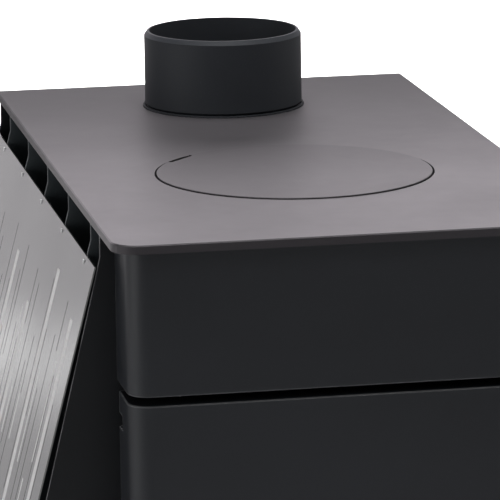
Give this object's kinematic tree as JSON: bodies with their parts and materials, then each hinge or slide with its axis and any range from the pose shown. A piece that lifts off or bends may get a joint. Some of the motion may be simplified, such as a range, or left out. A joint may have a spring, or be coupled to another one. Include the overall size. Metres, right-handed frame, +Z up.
{
  "type": "wood-burning heating stove with a hotplate",
  "caption": "Wood stove with a dark hotplate, lift-off lid, rear flue collar, glazed door, ash drawer and leaning stainless side convectors over black fins.",
  "frame": {"origin": "on the floor, under the middle of the whole stove's bounding box, drawer pull and door handle included", "axes": "+X to the right seen from the front, +Y to the back, +Z up; the door and the drawer face -Y"},
  "size_m": [0.5006, 0.622, 0.698],
  "materials": {
    "hob_paint": "satin dark grey heat-resistant paint, ground flat",
    "black_paint": "fine matt black heat-resistant paint",
    "collar_paint": "matt black paint on a rolled steel collar",
    "casing_paint": "smooth matt black paint on bent sheet",
    "stainless": "stainless sheet, brushed along its length",
    "bare_steel": "bright steel, lightly brushed",
    "zinc_steel": "zinc plated",
    "fire_steel": "bare steel, darkened by heat",
    "cast_iron": "sand-cast iron",
    "fireclay": "pale fireclay, rough and dry",
    "rope": "knitted glass fibre rope",
    "tape": "flat glass fibre tape",
    "ceramic_glass": "clear ceramic glass, slightly brown",
    "grip_wood": "oiled beech"
  },
  "bodies": {
    "stove": {"hob_plate": "hob_paint", "lid_support_ring": "fire_steel", "flue_collar": "collar_paint", "flue_collar_weld": "collar_paint", "front_frame": "black_paint", "firebox_wall_left": "black_paint", "firebox_wall_right": "black_paint", "firebox_back": "black_paint", "firebox_floor": "fire_steel", "grate_shelf": "fire_steel", "grate": "cast_iron", "firebricks_left": "fireclay", "firebricks_right": "fireclay", "firebrick_back": "fireclay", "baffle_plate": "fire_steel", "baffle_rests": "fire_steel", "afterburn_tubes": "fire_steel", "airwash_deflector": "fire_steel", "header_panel": "casing_paint", "hinge_lugs": "black_paint", "latch_keeper": "bare_steel", "drawer_runners": "fire_steel", "end_plates_left": "black_paint", "end_plates_right": "black_paint", "fins_left": "black_paint", "fins_right": "black_paint", "side_panel_left": "stainless", "side_panel_right": "stainless", "rear_shield": "black_paint", "shield_spacers": "zinc_steel", "shield_screws": "zinc_steel", "leg_frames": "black_paint", "leg_shoes": "black_paint", "plinths": "black_paint"},
    "lid": {"hob_lid": "hob_paint"},
    "door": {"door_skin": "casing_paint", "door_liner": "black_paint", "liner_posts": "zinc_steel", "liner_screws": "zinc_steel", "door_rope_seal": "rope", "door_glass": "ceramic_glass", "glass_tape": "tape", "glass_clips": "zinc_steel", "glass_clip_bosses": "zinc_steel", "glass_clip_screws": "zinc_steel", "door_hinge_ears": "black_paint", "door_hinge_pins": "bare_steel", "latch_bushing": "zinc_steel", "handle_rosette": "bare_steel"},
    "handle": {"latch_spindle": "bare_steel", "latch_tongue": "bare_steel", "handle_lever": "bare_steel", "handle_grip": "grip_wood", "handle_cap": "bare_steel"},
    "drawer": {"drawer_front": "casing_paint", "drawer_box": "fire_steel", "drawer_pull": "bare_steel", "air_slide_guides": "bare_steel"},
    "air_slide": {"air_slide": "bare_steel", "air_knob": "bare_steel"}
  },
  "joints": [
    {"name": "lid_lift", "type": "slide", "parent": "stove", "child": "lid", "axis": [0, 0, 1], "range_m": [0, 0.16]},
    {"name": "door_swing", "type": "hinge", "parent": "stove", "child": "door", "pos_m": [-0.1445, -0.232, 0.365], "axis": [0, 0, -1], "range_deg": [0, 100]},
    {"name": "handle_turn", "type": "hinge", "parent": "door", "child": "handle", "pos_m": [0.125, -0.272, 0.365], "axis": [0, 1, 0], "range_deg": [0, 85]},
    {"name": "ash_drawer_slide", "type": "slide", "parent": "stove", "child": "drawer", "axis": [0, -1, 0], "range_m": [0, 0.38]},
    {"name": "air_slide_shift", "type": "slide", "parent": "drawer", "child": "air_slide", "axis": [1, 0, 0], "range_m": [0, 0.014]}
  ]
}
